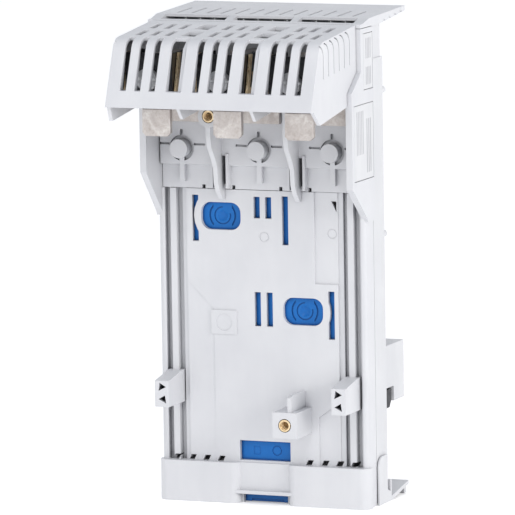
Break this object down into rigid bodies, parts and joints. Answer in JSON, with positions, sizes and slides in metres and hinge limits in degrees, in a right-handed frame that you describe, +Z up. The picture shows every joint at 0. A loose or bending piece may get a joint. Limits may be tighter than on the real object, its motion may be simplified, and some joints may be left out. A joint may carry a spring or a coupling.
{
  "type": "busbar adapter",
  "caption": "Carrier plate that hooks onto flat busbars and holds a multi-pole circuit breaker, with connection tongues under a slotted hood and blue locking slides.",
  "frame": {"origin": "centre of the bounding box on the plane the part stands on", "axes": "+Z up along the long side of the plate; the breaker side and the hood face -Y; the busbar shoes face +Y; +X is to the right seen from the front"},
  "size_m": [0.1054, 0.118, 0.2278],
  "materials": {
    "grey_plastic": "fine moulded grain",
    "grey_plastic_rear": "fine moulded grain",
    "blue_plastic": "satin",
    "brass": "bright turned",
    "tinned_copper": "mottled tin plate",
    "zinc_steel": "zinc plated",
    "dark_steel": "blackened",
    "label": "blank matt label"
  },
  "bodies": {
    "carrier": {"front_carrier": "grey_plastic", "terminal_block": "grey_plastic", "rear_housing": "grey_plastic_rear", "roof_plate": "grey_plastic", "foot_flange": "grey_plastic_rear", "fixing_insert_upper": "brass", "fixing_insert_lower": "brass", "conductor_1": "tinned_copper", "terminal_cage_1": "dark_steel", "clamp_strap_1": "brass", "terminal_screw_1": "zinc_steel", "terminal_nut_1": "brass", "busbar_shoe_1": "grey_plastic_rear", "contact_finger_1": "tinned_copper", "contact_spring_1": "dark_steel", "conductor_2": "tinned_copper", "terminal_cage_2": "dark_steel", "clamp_strap_2": "brass", "terminal_screw_2": "zinc_steel", "terminal_nut_2": "brass", "busbar_shoe_2": "grey_plastic_rear", "contact_finger_2": "tinned_copper", "contact_spring_2": "dark_steel", "conductor_3": "tinned_copper", "terminal_cage_3": "dark_steel", "clamp_strap_3": "brass", "terminal_screw_3": "zinc_steel", "terminal_nut_3": "brass", "busbar_shoe_3": "grey_plastic_rear", "contact_finger_3": "tinned_copper", "contact_spring_3": "dark_steel", "housing_screw_1": "zinc_steel", "housing_screw_2": "zinc_steel", "housing_screw_3": "zinc_steel", "housing_screw_4": "zinc_steel", "label_upper": "label", "label_lower": "label"},
    "hood": {"hood": "grey_plastic"},
    "upper_lock": {"upper_lock": "blue_plastic"},
    "lower_lock": {"lower_lock": "blue_plastic"},
    "foot_latch": {"foot_latch": "blue_plastic"}
  },
  "joints": [
    {"name": "hood_removal", "type": "slide", "parent": "carrier", "child": "hood", "axis": [0, -1, 0], "range_m": [0, 0.055]},
    {"name": "upper_lock_travel", "type": "slide", "parent": "carrier", "child": "upper_lock", "axis": [0, 0, 1], "range_m": [0, 0.005]},
    {"name": "lower_lock_travel", "type": "slide", "parent": "carrier", "child": "lower_lock", "axis": [0, 0, 1], "range_m": [0, 0.005]},
    {"name": "foot_latch_travel", "type": "slide", "parent": "carrier", "child": "foot_latch", "axis": [0, 0, 1], "range_m": [0, 0.003], "stiffness_N_per_m": 120, "springref_m": -0.001}
  ]
}
